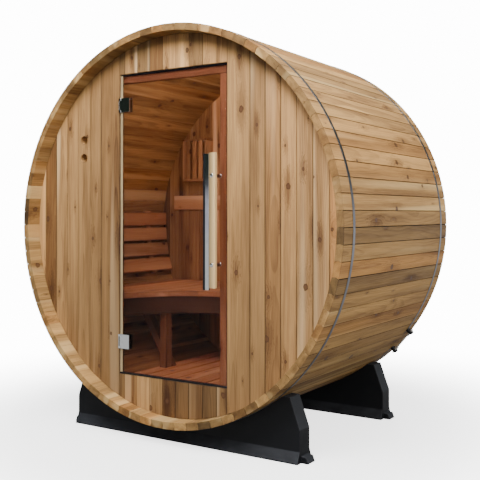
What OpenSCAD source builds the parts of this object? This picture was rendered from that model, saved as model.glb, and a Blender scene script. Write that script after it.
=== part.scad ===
// Barrel sauna: a wooden barrel lying on two moulded cradles, with a glass door
// in its front end wall, and a bench, backrests and a slatted floor inside.
// Origin on the ground under the middle of the barrel, +Y from the front
// end to the rear end, +Z up. All sizes in millimetres.

/* [Barrel] */
// Outside radius of the barrel
barrel_r = 945; // [780:1:1140]
// Length of the staves
barrel_l = 1220; // [1000:1:2400]
// Height of the barrel's underside above the ground
under_h = 88; // [75:1:110]
// Thickness of a stave
stave_t = 35; // [28:1:45]

/* [End walls] */
// Thickness of an end wall
wall_t = 35; // [28:1:45]
// How far an end wall is set in from the ends of the staves
wall_recess = 75; // [50:1:110]
// Width of the board that has the vent holes
vent_board_w = 80; // [60:1:100]
// Distance from the doorway to the middle of the vent board
vent_from_door = 245; // [200:1:290]
// Radius of a vent hole
vent_r = 23; // [14:1:26]
// Height of the lower vent hole's axis above the barrel's axis
vent_low = 340; // [200:1:400]
// Height between the two vent holes' axes
vent_step = 92; // [70:1:120]

/* [Door] */
// Clear width of the doorway
door_w = 650; // [540:1:780]
// How far the middle of the doorway is to the right of the barrel's axis
door_x = -10; // [-60:1:60]
// Height of the front wall under the doorway, on the barrel's centre line
sill_h = 174; // [165:1:230]
// Height of the front wall over the doorway, on the barrel's centre line
header_h = 163; // [130:1:260]
// Thickness of the door glass
glass_t = 8; // [6:1:10]
// How far the glass is set back from the front wall's outer face
glass_set = 1; // [0:0.5:3]
// Gap between the glass and the jamb on the hinge side
gap_hinge = 7; // [6:0.5:12]
// Gap between the glass and the jamb on the handle side
gap_handle = 6; // [6:0.5:12]
// Gap over the glass
gap_top = 8; // [6:0.5:14]
// Gap under the glass
gap_bottom = 10; // [6:0.5:14]
// Gap between the glass and the door stop behind it
gap_stop = 5; // [5:0.5:10]

/* [Door stop] */
// Thickness of the door stop's boards
stop_t = 20; // [12:1:24]
// How far the upright board reaches into the doorway
stop_reach_side = 48; // [20:1:70]
// How far the head board reaches into the doorway
stop_reach_top = 46; // [20:1:70]

/* [Hinges] */
// Width of a hinge's clamp plates
hinge_w = 64; // [48:1:80]
// Height of a hinge
hinge_h = 70; // [60:1:100]
// Thickness of the clamp plate on the outside of the glass
hinge_front_t = 11; // [10:0.5:16]
// Thickness of the clamp plate on the inside of the glass
hinge_back_t = 10; // [6:0.5:14]
// Distance from the bottom of the glass to the middle of the lower hinge
hinge_low = 152; // [100:1:300]
// Distance from the top of the glass to the middle of the upper hinge
hinge_high = 146; // [100:1:300]
// Radius of a hinge pin
pin_r = 3; // [2.5:0.1:3.5]
// Distance from the hinge side's jamb to the pins' axis
pin_from_jamb = 11; // [10:0.5:14]
// Distance from the clamp's outer face to the pins' axis
pin_from_face = 5; // [4.5:0.1:5.5]
// Height of a knuckle at the top and at the bottom of a hinge
knuckle_h = 12; // [8:1:16]
// How far the fixed leaf reaches in along the jamb
leaf_in = 30; // [18:1:34]

/* [Handle] */
// Length of the wooden grip
grip_l = 612; // [400:1:800]
// Width of the wooden grip
grip_w = 34; // [28:1:60]
// Thickness of the wooden grip
grip_t = 22; // [18:1:30]
// Height of the grip's lower end above the sill
grip_z = 457; // [350:1:560]
// Distance from the handle side's jamb to the grip
grip_from_jamb = 24; // [14:1:60]
// Clear depth between the grip and the glass
finger_gap = 42; // [35:1:50]
// Width of the steel bar beside the grip
bar_w = 33; // [20:1:45]
// Thickness of the steel bar
bar_t = 8; // [5:1:12]
// How far the steel bar's face is set back from the grip's face
bar_setback = 3; // [0:0.5:12]
// How far the steel bar hangs below the grip
bar_drop = 10; // [0:1:20]
// Radius of a standoff behind the grip
standoff_r = 10; // [6:1:13]
// Distance from each end of the grip to its standoff
standoff_in = 104; // [60:1:160]

/* [Cradles] */
// Width of a cradle across the barrel
cradle_w = 1334; // [1100:1:1500]
// Thickness of a cradle's body along the barrel
cradle_t = 88; // [60:1:120]
// Depth of a cradle's foot along the barrel
foot_d = 130; // [100:1:200]
// Height of the foot's ribs where they meet the body
foot_h = 52; // [35:1:70]
// Height of the ribs' upright edge
foot_edge_h = 5; // [3:1:20]
// How far the lug at each end of a foot stands out
foot_lug_out = 35; // [15:1:50]
// Depth of a lug along the barrel
foot_lug_d = 64; // [40:1:85]
// Height of a lug where it meets the body
foot_lug_h = 31; // [20:1:45]
// Height of a cradle's upright end
cradle_end_h = 144; // [110:1:170]
// Height of a cradle's tips above the ground
cradle_tip_h = 284; // [240:1:330]
// How far the tips lean in from the upright ends
cradle_lean = 51; // [30:1:80]
// Gap along the barrel between a cradle's body and the nearer band
cradle_gap = 22.5; // [2:0.5:120]

/* [Bands] */
// Width of a steel band
band_w = 20; // [15:1:30]
// Thickness of a steel band
band_t = 1.5; // [1:0.1:3]
// Angle below horizontal of the tensioner's middle
tension_a = 40.75; // [35:0.25:60]
// Distance between a tensioner's two lugs
lug_gap = 135; // [90:1:180]
// Height of a lug above the band
lug_h = 32; // [24:1:40]
// Width of a lug along the barrel
lug_w = 36; // [24:1:44]
// Thickness of a lug
lug_t = 14; // [8:1:18]
// Radius of the tension rod
rod_r = 4; // [3:0.5:6]
// Width of a nut across its corners
nut_w = 15; // [12:1:22]
// Thickness of a nut
nut_t = 7; // [5:1:10]
// Length of the long nuts between the lugs
long_nut_l = 20; // [12:1:30]

/* [Floor] */
// Height of the floor's top above the ground
floor_z = 258; // [240:1:285]
// Thickness of a floor board
floor_t = 25; // [18:1:30]
// Width of a floor board
floor_board_w = 85; // [60:1:92]
// Gap between two floor boards
floor_gap = 10; // [6:1:12]
// Thickness of a floor bearer along the barrel
bearer_t = 45; // [30:1:60]

/* [Bench] */
// How far the top of the seat is below the barrel's axis
seat_drop = 360; // [330:1:430]
// Thickness of the seat
seat_t = 28; // [20:1:40]
// Radius of the round space in front of the bench
bench_r = 470; // [400:1:600]
// Half width of the rear seat
rear_seat_hw = 330; // [250:1:400]
// Height of the curved apron under the seat
apron_h = 90; // [60:1:140]
// Thickness of the apron
apron_t = 18; // [12:1:25]
// How far the apron is set back under the seat's edge
apron_in = 12; // [5:1:25]
// Height of the cleats that carry the seat on the end walls
cleat_h = 45; // [30:1:60]
// Thickness of the cleats
cleat_t = 30; // [20:1:40]
// Width of a bench post or brace
post_w = 45; // [35:1:55]
// Distance from the floor's side edge to the outside of a bench post
post_in = 22.5; // [0:0.5:60]
// How far a brace leans out from its foot to its top
brace_out = 230; // [150:1:300]

/* [Backrests] */
// Width of a backrest slat
slat_w = 80; // [60:1:95]
// Thickness of a backrest slat
slat_t = 20; // [15:1:28]
// Gap between two slats
slat_gap = 14; // [8:1:25]
// Number of slats on each side
slat_n = 4; // [3:1:5]
// Gap between a slat's end and the end wall
slat_end_gap = 30; // [21:1:60]
// Angle above horizontal of the middle of the top slat
slat_top_a = 1.6; // [0:0.1:6]
// Depth of the curved bearers behind the slats
slat_bearer_t = 25; // [18:1:35]
// Width of the curved bearers
slat_bearer_w = 40; // [30:1:60]
// Distance from a slat's end to the middle of the nearer bearer
slat_bearer_in = 150; // [60:1:220]
// Height of the rear backrest rail
rail_h = 90; // [60:1:120]
// Height of the rail's lower edge above the barrel's axis
rail_z = 80; // [20:1:140]
// Gap between each end of the rail and the barrel's wall
rail_end_gap = 83.7; // [60:0.1:160]

/* [Lamp shade] */
// Width of the lamp shade
shade_w = 180; // [150:1:200]
// Height of the lamp shade
shade_h = 260; // [200:1:280]
// Depth of the lamp shade
shade_d = 70; // [50:1:90]
// Thickness of the lamp shade's boards
shade_t = 12; // [8:1:15]
// Gap between the shade's top corner and the barrel's wall, measured across
shade_gap = 46.4; // [20:0.1:120]
// Height of the shade's lower edge above the barrel's axis
shade_z = 260; // [220:1:280]
// Width of a shade slat
shade_slat_w = 26; // [20:1:32]
// Number of shade slats
shade_slat_n = 3; // [2:1:3]

/* [Fits] */
// Clearance between a curved face and the piece seated on it
fit = 0.3; // [0.2:0.05:0.5]
// Radial clearance of a hinge pin in its clamp
pin_fit = 0.1; // [0.05:0.01:0.1]

/* [Hidden] */
SEGMENTS = 12;

cedar = [0.72, 0.55, 0.38];
cedar_dark = [0.60, 0.42, 0.28];
seg_a = 360 / SEGMENTS;
joint_a = atan(fit / barrel_r);
axis_z = under_h + barrel_r;
inner_r = barrel_r - stave_t;
room_r = inner_r - fit;
half_l = barrel_l / 2;

// Half the cabin's width at height s above the barrel's axis
function room_hw(s) = sqrt(pow(room_r, 2) - pow(s, 2));

// End walls: faces along Y
wall_out = half_l - wall_recess;
wall_in = wall_out - wall_t;

// Doorway in section coordinates, measured from the barrel's axis
door_l = door_x - door_w / 2;
door_r = door_x + door_w / 2;
sill_s = sill_h - inner_r;
head_s = inner_r - header_h;
vent_x = door_l - vent_from_door;

// Door glass
glass_x0 = door_l + gap_hinge;
glass_x1 = door_r - gap_handle;
glass_s0 = sill_s + gap_bottom;
glass_s1 = head_s - gap_top;
glass_y0 = -wall_out + glass_set;
glass_y1 = glass_y0 + glass_t;
stop_y0 = glass_y1 + gap_stop;
hinge_s = [glass_s0 + hinge_low, glass_s1 - hinge_high];

// Hinge pins
clamp_y0 = glass_y0 - hinge_front_t;
pin_x = door_l + pin_from_jamb;
pin_y = clamp_y0 + pin_from_face;
leaf_t = 3;
notch_x = 20;
notch_h = hinge_h - 2 * knuckle_h;

// Handle
grip_x1 = door_r - grip_from_jamb;
grip_x0 = grip_x1 - grip_w;
grip_y1 = glass_y0 - finger_gap;
grip_y0 = grip_y1 - grip_t;
grip_s0 = sill_s + grip_z;
screw_t = 2;

// Bands and tensioners
band_r0 = barrel_r + fit;
band_r1 = band_r0 + band_t;
band_y = (wall_in + wall_out) / 2;
cradle_y = band_y - band_w / 2 - cradle_gap - cradle_t / 2;
lug_a = 2 * asin(lug_gap / 2 / band_r1);
rod_rise = lug_h * 0.6;

// Floor
floor_s = floor_z - axis_z;
floor_pitch = floor_board_w + floor_gap;
floor_n = floor((2 * room_hw(floor_s - floor_t) + floor_gap) / floor_pitch);
floor_w = floor_n * floor_pitch - floor_gap;
bearer_y = [-wall_in + 60, -bearer_t / 2, wall_in - 60 - bearer_t];

// Bench
seat_s = -seat_drop;
seat_under = seat_s - seat_t;
seat_hw = room_hw(seat_under) - fit;
cleat_hw = room_hw(seat_under - cleat_h) - 5;
post_x = floor_w / 2 - post_in;
apron_r = bench_r + apron_in;
post_y = -wall_in + sqrt(pow(apron_r + apron_t, 2) - pow(post_x - post_w, 2)) + fit;

// Backrests
slat_bearer_r = room_r - slat_bearer_t;
slat_r = sqrt(pow(slat_bearer_r, 2) - pow(slat_w / 2, 2)) - fit;
slat_pitch_a = 2 * atan((slat_w + slat_gap) / 2 / (slat_r - slat_t));
slat_bearer_a = slat_n * slat_pitch_a;
slat_l = 2 * (wall_in - slat_end_gap);
slat_bearer_y = slat_l / 2 - slat_bearer_in;
rail_w = 2 * (room_hw(rail_z + rail_h) - rail_end_gap);

// Lamp shade: its outer side
shade_x0 = shade_gap - room_hw(shade_z + shade_h);

// A shape drawn in the barrel's cross section, from y0 to y1
module section(y0, y1) {
    translate([0, y1, axis_z]) rotate([90, 0, 0]) linear_extrude(y1 - y0) children();
}

// A box in section coordinates
module slab(x0, x1, y0, y1, s0, s1) {
    translate([x0, y0, axis_z + s0]) cube([x1 - x0, y1 - y0, s1 - s0]);
}

// A ring round the barrel's axis, from angle a0 through angle a
module hoop(r0, r1, y0, y1, a0, a) {
    translate([0, 0, axis_z]) rotate([90, 0, 0]) rotate([0, 0, a0])
        rotate_extrude(angle = a, $fn = 168) translate([r0, -y1]) square([r1 - r0, y1 - y0]);
}

// One segment of the barrel's wall, seven staves wide
module shell(i) {
    color(i % 2 == 0 ? cedar : cedar_dark)
        hoop(inner_r, barrel_r, -half_l, half_l, i * seg_a, seg_a - joint_a);
}

// The part of the front wall between x0 and x1, and between two heights
module front_wall_part(x0, x1, s0, s1) {
    intersection() {
        section(-wall_out, -wall_in) circle(r = room_r, $fn = 168);
        slab(x0, x1, -wall_out - 1, -wall_in + 1, s0, s1);
    }
}

module front_wall_outer_left() {
    color(cedar) front_wall_part(-barrel_r, vent_x - vent_board_w / 2, -barrel_r, barrel_r);
}

module vent_board() {
    color(cedar_dark) difference() {
        front_wall_part(vent_x - vent_board_w / 2, vent_x + vent_board_w / 2, -barrel_r, barrel_r);
        for (s = [vent_low, vent_low + vent_step])
            translate([vent_x, -wall_in + 1, axis_z + s]) rotate([90, 0, 0])
                cylinder(r = vent_r, h = wall_t + 2, $fn = 48);
    }
}

module front_wall_left() {
    color(cedar) front_wall_part(vent_x + vent_board_w / 2, door_l, -barrel_r, barrel_r);
}

module front_header() {
    color(cedar) front_wall_part(door_l, door_r, head_s, barrel_r);
}

module front_sill() {
    color(cedar) front_wall_part(door_l, door_r, -barrel_r, sill_s);
}

module front_wall_right() {
    color(cedar) front_wall_part(door_r, barrel_r, -barrel_r, barrel_r);
}

module rear_wall() {
    color(cedar) section(wall_in, wall_out) circle(r = room_r, $fn = 168);
}

// Two steel bands over the end walls, each open between its tensioner's lugs
module bands() {
    color("silver") {
        hoop(band_r0, band_r1, band_y - band_w / 2, band_y + band_w / 2,
             -tension_a + lug_a / 2, 360 - lug_a);
        hoop(band_r0, band_r1, -band_y - band_w / 2, -band_y + band_w / 2,
             180 + tension_a + lug_a / 2, 360 - lug_a);
    }
}

// Two lugs on the band's ends, with a threaded rod and nuts on both sides of
// each lug, on the +X side
module tensioner(y) {
    middle_r = band_r1 * cos(lug_a / 2);
    translate([0, y, axis_z]) rotate([90, 0, 0]) rotate([0, 0, -tension_a]) {
        for (side = [-1, 1])
            rotate([0, 0, side * lug_a / 2]) translate([band_r1, -lug_t / 2, -lug_w / 2])
                cube([lug_h, lug_t, lug_w]);
        translate([middle_r + rod_rise, 0, 0]) rotate([90, 0, 0])
            cylinder(r = rod_r, h = lug_gap + 6 * nut_t, center = true, $fn = 32);
        for (side = [-1, 1]) {
            translate([middle_r + rod_rise, side * (lug_gap / 2 + lug_t / 2 + nut_t / 2 + 1), 0])
                rotate([90, 0, 0]) cylinder(r = nut_w / 2, h = nut_t, center = true, $fn = 6);
            translate([middle_r + rod_rise, side * ((lug_gap - lug_t - long_nut_l) / 2 + 2), 0])
                rotate([90, 0, 0])
                    cylinder(r = nut_w / 2, h = long_nut_l, center = true, $fn = 6);
        }
    }
}

module tensioners() {
    color("dimgray") {
        tensioner(band_y);
        mirror([1, 0, 0]) tensioner(-band_y);
    }
}

// A moulded cradle with its middle at y: a saddle on a foot that has a sloping
// rib along both faces and a lug at each end
module cradle(y) {
    hw = cradle_w / 2;
    lug_top = hw + foot_lug_out * 0.7;
    color([0.1, 0.1, 0.11]) difference() {
        union() {
            translate([0, y + cradle_t / 2, 0]) rotate([90, 0, 0]) linear_extrude(cradle_t)
                polygon([[-hw, 0], [hw, 0], [hw, cradle_end_h], [hw - cradle_lean, cradle_tip_h],
                         [-hw + cradle_lean, cradle_tip_h], [-hw, cradle_end_h]]);
            translate([-hw, y, 0]) rotate([90, 0, 90]) linear_extrude(cradle_w)
                polygon([[-foot_d / 2, 0], [foot_d / 2, 0], [foot_d / 2, foot_edge_h],
                         [cradle_t / 2, foot_h], [-cradle_t / 2, foot_h],
                         [-foot_d / 2, foot_edge_h]]);
            translate([0, y + foot_lug_d / 2, 0]) rotate([90, 0, 0]) linear_extrude(foot_lug_d)
                polygon([[-hw - foot_lug_out, 0], [hw + foot_lug_out, 0],
                         [lug_top, foot_lug_h * 0.87], [hw, foot_lug_h],
                         [-hw, foot_lug_h], [-lug_top, foot_lug_h * 0.87]]);
        }
        section(y - foot_d, y + foot_d) circle(r = barrel_r + fit, $fn = 168);
    }
}

module front_cradle() { cradle(-cradle_y); }

module rear_cradle() { cradle(cradle_y); }

// Boards in the doorway that the closed glass meets
module door_stop_side() {
    color(cedar_dark)
        slab(door_r - stop_reach_side, door_r, stop_y0, stop_y0 + stop_t,
             sill_s, head_s - stop_reach_top);
}

module door_stop_head() {
    color(cedar_dark)
        slab(door_l, door_r, stop_y0, stop_y0 + stop_t, head_s - stop_reach_top, head_s);
}

// The fixed half of each hinge: a leaf on the jamb, two knuckles and a pin
module hinge_brackets() {
    knuckle_r = pin_from_face;
    color("silver") for (s = hinge_s) translate([0, 0, axis_z + s]) {
        translate([door_l, clamp_y0, -hinge_h / 2])
            cube([leaf_t, leaf_in - wall_out - clamp_y0, hinge_h]);
        for (z = [-hinge_h / 2, hinge_h / 2 - knuckle_h + fit]) {
            translate([door_l, pin_y - knuckle_r, z])
                cube([pin_from_jamb, 2 * knuckle_r, knuckle_h - fit]);
            translate([pin_x, pin_y, z]) cylinder(r = knuckle_r, h = knuckle_h - fit, $fn = 48);
        }
        translate([pin_x, pin_y, -hinge_h / 2]) cylinder(r = pin_r, h = hinge_h, $fn = 48);
    }
}

// The moving half of each hinge: plates on both faces of the glass, joined
// through the notch in its edge, with a knuckle that turns on the pin
module hinge_clamps() {
    knuckle_r = pin_from_face;
    x1 = pin_x - knuckle_r + hinge_w;
    web_x1 = glass_x0 + notch_x - fit;
    clear_x = pin_x + knuckle_r + 2;
    color("gainsboro") for (s = hinge_s) translate([0, 0, axis_z + s]) difference() {
        union() {
            translate([clear_x, clamp_y0, -hinge_h / 2])
                cube([x1 - clear_x, hinge_front_t, hinge_h]);
            translate([pin_x, clamp_y0, -notch_h / 2]) cube([x1 - pin_x, hinge_front_t, notch_h]);
            translate([pin_x, pin_y, -notch_h / 2]) cylinder(r = knuckle_r, h = notch_h, $fn = 48);
            translate([glass_x0, glass_y0 - 1, -notch_h / 2 + fit])
                cube([web_x1 - glass_x0, glass_t + 2, notch_h - 2 * fit]);
            translate([glass_x0, glass_y1, -hinge_h / 2])
                cube([x1 - glass_x0, hinge_back_t, hinge_h]);
        }
        translate([pin_x, pin_y, -hinge_h]) cylinder(r = pin_r + pin_fit, h = 2 * hinge_h, $fn = 48);
    }
}

module door_glass() {
    color([0.45, 0.30, 0.18, 0.5]) difference() {
        slab(glass_x0, glass_x1, glass_y0, glass_y1, glass_s0, glass_s1);
        for (s = hinge_s)
            slab(glass_x0 - 1, glass_x0 + notch_x, glass_y0 - 1, glass_y1 + 1,
                 s - notch_h / 2, s + notch_h / 2);
    }
}

module handle_grip() {
    color([0.80, 0.66, 0.45])
        slab(grip_x0, grip_x1, grip_y0, grip_y1, grip_s0, grip_s0 + grip_l);
}

module handle_bar() {
    y0 = grip_y0 + bar_setback;
    color("silver")
        slab(grip_x0 - bar_w, grip_x0, y0, y0 + bar_t, grip_s0 - bar_drop, grip_s0 + grip_l - 4);
}

// Standoffs between the glass and the grip, and screw heads on the grip's face
module handle_standoffs() {
    x = (grip_x0 + grip_x1) / 2;
    color("silver") for (s = [grip_s0 + standoff_in, grip_s0 + grip_l - standoff_in])
        translate([x, 0, axis_z + s]) {
            translate([0, glass_y0, 0]) rotate([90, 0, 0])
                cylinder(r = standoff_r, h = finger_gap, $fn = 48);
            translate([0, grip_y0, 0]) rotate([90, 0, 0])
                cylinder(r = standoff_r, h = screw_t, $fn = 48);
        }
}

module floor_bearers() {
    color(cedar_dark) for (y = bearer_y) intersection() {
        section(y, y + bearer_t) circle(r = room_r, $fn = 168);
        slab(-barrel_r, barrel_r, y - 1, y + bearer_t + 1, -barrel_r, floor_s - floor_t);
    }
}

module floor_boards() {
    color(cedar) for (i = [0 : floor_n - 1]) {
        x0 = -floor_w / 2 + i * floor_pitch;
        slab(x0, x0 + floor_board_w, -wall_in + fit, wall_in - fit, floor_s - floor_t, floor_s);
    }
}

// The seat's plan between x0 and x1, cut away by the round space in front of it
module seat_part(x0, x1) {
    color(cedar) difference() {
        slab(x0, x1, -wall_in + fit, wall_in - fit, seat_under, seat_s);
        translate([0, -wall_in, axis_z + seat_under - 1])
            cylinder(r = bench_r, h = seat_t + 2, $fn = 96);
    }
}

module seat_left() { seat_part(-seat_hw, -rear_seat_hw); }

module seat_right() { seat_part(rear_seat_hw, seat_hw); }

module seat_rear() { seat_part(-rear_seat_hw, rear_seat_hw); }

module bench_apron() {
    color(cedar_dark) translate([0, -wall_in + fit, axis_z + seat_under - apron_h])
        rotate_extrude(angle = 180, $fn = 96) translate([apron_r, 0]) square([apron_t, apron_h]);
}

module bench_cleats() {
    x0 = apron_r + apron_t + 2;
    color(cedar_dark) {
        slab(-cleat_hw, cleat_hw, wall_in - cleat_t, wall_in, seat_under - cleat_h, seat_under);
        slab(x0, cleat_hw, -wall_in, -wall_in + cleat_t, seat_under - cleat_h, seat_under);
        slab(-cleat_hw, -x0, -wall_in, -wall_in + cleat_t, seat_under - cleat_h, seat_under);
    }
}

// An upright post under each side of the seat, behind the apron
module bench_posts() {
    color(cedar_dark) for (side = [0, 1]) mirror([side, 0, 0])
        slab(post_x - post_w, post_x, post_y, post_y + post_w, floor_s, seat_under);
}

// A brace from each post's foot that leans out to the underside of the seat
module bench_braces() {
    color(cedar_dark) for (side = [0, 1]) mirror([side, 0, 0])
        section(post_y + post_w, post_y + 2 * post_w)
            polygon([[post_x - post_w, floor_s], [post_x, floor_s],
                     [post_x + brace_out, seat_under],
                     [post_x + brace_out - post_w, seat_under]]);
}

// Slats along the +X side of the cabin, set flat on their curved bearers
module backrest_slats() {
    color(cedar) for (i = [0 : slat_n - 1])
        translate([0, 0, axis_z]) rotate([0, -slat_top_a + i * slat_pitch_a, 0])
            translate([slat_r - slat_t, -slat_l / 2, -slat_w / 2]) cube([slat_t, slat_l, slat_w]);
}

// Two curved bearers behind the slats on each side
module backrest_bearers() {
    a0 = slat_top_a + slat_pitch_a / 2 - slat_bearer_a;
    color(cedar_dark) for (side = [0, 1], y = [-slat_bearer_y, slat_bearer_y])
        mirror([side, 0, 0])
            hoop(slat_bearer_r, room_r, y - slat_bearer_w / 2, y + slat_bearer_w / 2,
                 a0, slat_bearer_a);
}

module backrest_right() { backrest_slats(); }

module backrest_left() { mirror([1, 0, 0]) backrest_slats(); }

module back_rail() {
    color(cedar) slab(-rail_w / 2, rail_w / 2, wall_in - slat_t, wall_in, rail_z, rail_z + rail_h);
}

// A wooden box on the rear wall, open at its back, with slats across its front
module lamp_shade() {
    x0 = shade_x0;
    x1 = x0 + shade_w;
    y0 = wall_in - shade_d;
    s1 = shade_z + shade_h;
    space = (shade_w - 2 * shade_t - shade_slat_n * shade_slat_w) / (shade_slat_n + 1);
    color(cedar_dark) {
        slab(x0, x1, y0, wall_in, shade_z, shade_z + shade_t);
        slab(x0, x1, y0, wall_in, s1 - shade_t, s1);
        slab(x0, x0 + shade_t, y0, wall_in, shade_z, s1);
        slab(x1 - shade_t, x1, y0, wall_in, shade_z, s1);
        for (i = [0 : shade_slat_n - 1]) {
            sx = x0 + shade_t + space + i * (shade_slat_w + space);
            slab(sx, sx + shade_slat_w, y0, y0 + shade_t, shade_z, s1);
        }
    }
}

shell(0);  // shell_01
shell(1);  // shell_02
shell(2);  // shell_03
shell(3);  // shell_04
shell(4);  // shell_05
shell(5);  // shell_06
shell(6);  // shell_07
shell(7);  // shell_08
shell(8);  // shell_09
shell(9);  // shell_10
shell(10);  // shell_11
shell(11);  // shell_12
front_wall_outer_left();
vent_board();
front_wall_left();
front_header();
front_sill();
front_wall_right();
rear_wall();
bands();
tensioners();
front_cradle();
rear_cradle();
door_stop_side();
door_stop_head();
hinge_brackets();
hinge_clamps();
door_glass();
handle_grip();
handle_bar();
handle_standoffs();
floor_bearers();
floor_boards();
seat_left();
seat_right();
seat_rear();
bench_apron();
bench_cleats();
bench_posts();
bench_braces();
backrest_left();
backrest_right();
backrest_bearers();
back_rail();
lamp_shade();
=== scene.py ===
"""Looks for the barrel sauna: boards, staves, glass, steel and moulded cradles
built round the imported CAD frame. Metres, origin on the ground, +Y to the rear."""
import math
import random

import bmesh
import bpy
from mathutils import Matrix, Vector


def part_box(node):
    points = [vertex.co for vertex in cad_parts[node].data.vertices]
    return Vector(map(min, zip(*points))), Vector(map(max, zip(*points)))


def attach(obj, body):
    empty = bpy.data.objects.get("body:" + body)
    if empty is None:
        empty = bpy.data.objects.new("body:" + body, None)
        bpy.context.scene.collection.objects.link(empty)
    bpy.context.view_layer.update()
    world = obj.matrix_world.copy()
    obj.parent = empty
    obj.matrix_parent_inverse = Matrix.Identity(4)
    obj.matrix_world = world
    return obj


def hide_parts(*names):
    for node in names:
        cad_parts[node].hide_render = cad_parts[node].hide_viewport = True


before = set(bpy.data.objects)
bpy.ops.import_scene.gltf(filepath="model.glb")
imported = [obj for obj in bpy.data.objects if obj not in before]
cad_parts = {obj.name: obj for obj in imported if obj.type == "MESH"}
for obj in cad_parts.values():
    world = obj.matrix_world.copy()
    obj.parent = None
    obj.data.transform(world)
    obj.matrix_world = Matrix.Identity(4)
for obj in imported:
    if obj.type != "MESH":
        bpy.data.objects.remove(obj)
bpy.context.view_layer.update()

X, Y, Z = Vector((1, 0, 0)), Vector((0, 1, 0)), Vector((0, 0, 1))
MM = 0.001


# ---------------------------------------------------------------- materials

# Where a Mix node keeps its factor and two colours, and the colour that it gives
MIX_INPUTS, MIX_OUTPUT = (0, 6, 7), 2


class Graph:
    """A Principled material, with short ways to add nodes to it."""

    def __init__(self, name, **sockets):
        self.material = bpy.data.materials.new(name)
        self.material.use_nodes = True
        self.tree = self.material.node_tree
        self.shader = self.tree.nodes["Principled BSDF"]
        for socket, value in sockets.items():
            self.put(self.shader.inputs[socket.replace("_", " ")], value)

    def put(self, socket, value):
        if isinstance(value, bpy.types.NodeSocket):
            self.tree.links.new(value, socket)
        else:
            socket.default_value = value

    def node(self, kind, values=(), **settings):
        node = self.tree.nodes.new("ShaderNode" + kind)
        for key, value in settings.items():
            setattr(node, key, value)
        for key, value in dict(values).items():
            self.put(node.inputs[key], value)
        return node

    def math(self, operation, *values, clamp=False):
        node = self.node("Math", operation=operation, use_clamp=clamp)
        for socket, value in zip(node.inputs, values):
            self.put(socket, value)
        return node.outputs[0]

    def attribute(self, name):
        return self.node("Attribute", attribute_name=name).outputs["Vector"]

    def split(self, vector):
        return self.node("SeparateXYZ", {"Vector": vector}).outputs[:3]

    def stretch(self, vector, x, y, z):
        """The vector with each axis scaled: cells per metre along each."""
        node = self.node("VectorMath", {0: vector, 1: (x, y, z)}, operation="MULTIPLY")
        return node.outputs[0]

    def noise(self, vector, detail=2.0, rough=0.5, seed=0.0):
        node = self.node("TexNoise", {"Vector": vector, "W": seed, "Scale": 1.0,
                                      "Detail": detail, "Roughness": rough},
                         noise_dimensions="4D")
        return node.outputs["Fac"]

    def ramp(self, value, low, high, to_low=0.0, to_high=1.0):
        node = self.node("MapRange", {"Value": value, "From Min": low, "From Max": high,
                                      "To Min": to_low, "To Max": to_high},
                         interpolation_type="SMOOTHSTEP")
        return node.outputs[0]

    def mix(self, factor, first, second, blend="MIX"):
        node = self.node("Mix", data_type="RGBA", blend_type=blend)
        for number, value in zip(MIX_INPUTS, (factor, first, second)):
            self.put(node.inputs[number], value)
        return node.outputs[MIX_OUTPUT]

    def bump(self, height, strength, distance):
        node = self.node("Bump", {"Height": height, "Strength": strength,
                                  "Distance": distance})
        self.put(self.shader.inputs["Normal"], node.outputs[0])

    def show(self, shader):
        """Makes another shader the material's surface."""
        self.put(self.tree.nodes["Material Output"].inputs["Surface"], shader.outputs[0])


def colour(r, g, b):
    return (r, g, b, 1.0)


def place(g, *cells):
    """The object's own coordinates, in cells per metre along each axis."""
    return g.stretch(g.node("TexCoord").outputs["Object"], *cells)


# Noise in timber, in cells per metre: across the grain, and along it
WOBBLE_CELLS, WARP_CELLS, FIBRE_CELLS = (140.0, 60.0), (6.0, 1.2), (520.0, 7.0)
STREAK_CELLS, SAP_CELLS, YEAR_CELLS = (15.0, 0.9), (11.0, 0.4), (46.0, 0.3)
KNOT_CELLS = (9.0, 3.1)
KNOT_MIN_R, KNOT_MAX_R = 3.0 * MM, 12.5 * MM
KNOT_BROWN, RIM_BROWN = colour(0.090, 0.036, 0.014), colour(0.028, 0.011, 0.005)
# Growth rings: their width, the trunk's taper, and how far noise and knots bend them
RING, TAPER, RING_WARP, RING_BEND = 4.2 * MM, 0.010, 36 * MM, 9 * MM
# How much each pattern darkens the wood
YEARS_SHADE, LATE_SHADE, STREAK_SHADE, FIBRE_SHADE, HALO_SHADE = 0.30, 0.18, 0.46, 0.24, 0.26
# Brightness at tone 0, what tone 1 adds, and the share left on end grain
TONE_BASE, TONE_SPAN, END_GRAIN = 0.60, 0.72, 0.66
# Painted shade and light: brightness at a low and at a high place on the wall, darker low and
# brighter high as if lit from above
LOW_Z, HIGH_Z, LOW_PAINTED_SHADE, HIGH_PAINTED_LIGHT = 0.1, 1.75, 0.74, 1.07


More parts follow.
